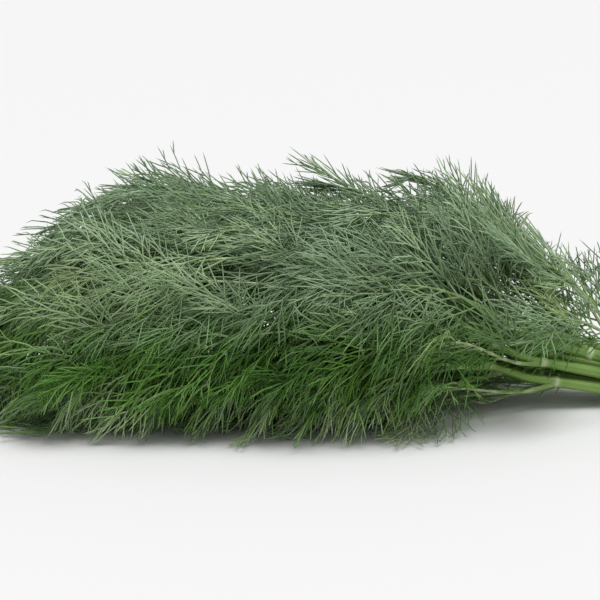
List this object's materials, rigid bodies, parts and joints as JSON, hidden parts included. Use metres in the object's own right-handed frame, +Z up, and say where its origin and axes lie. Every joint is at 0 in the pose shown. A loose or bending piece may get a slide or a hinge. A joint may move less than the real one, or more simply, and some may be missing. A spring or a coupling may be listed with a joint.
{
  "type": "dill bunch",
  "caption": "Bunch of fresh dill as cut, lying down: feathery leafy stems side by side at the cut ends, fanned into one soft mound.",
  "frame": {"origin": "middle of the bunch's box at its underside, on the surface that it lies on", "axes": "+X along the bunch towards the cut ends of the stems, +Z up"},
  "size_m": [0.3304, 0.1582, 0.0936],
  "materials": {
    "dill": "satin plant tissue, darker on the leaflets and yellow-green on the stems"
  },
  "bodies": {
    "root": {"dill_stem_01": "dill", "dill_stem_02": "dill", "dill_stem_03": "dill", "dill_stem_04": "dill", "dill_stem_05": "dill", "dill_stem_06": "dill", "dill_stem_07": "dill", "dill_stem_08": "dill", "dill_stem_09": "dill", "dill_stem_10": "dill", "dill_stem_11": "dill", "dill_stem_12": "dill"}
  },
  "joints": []
}
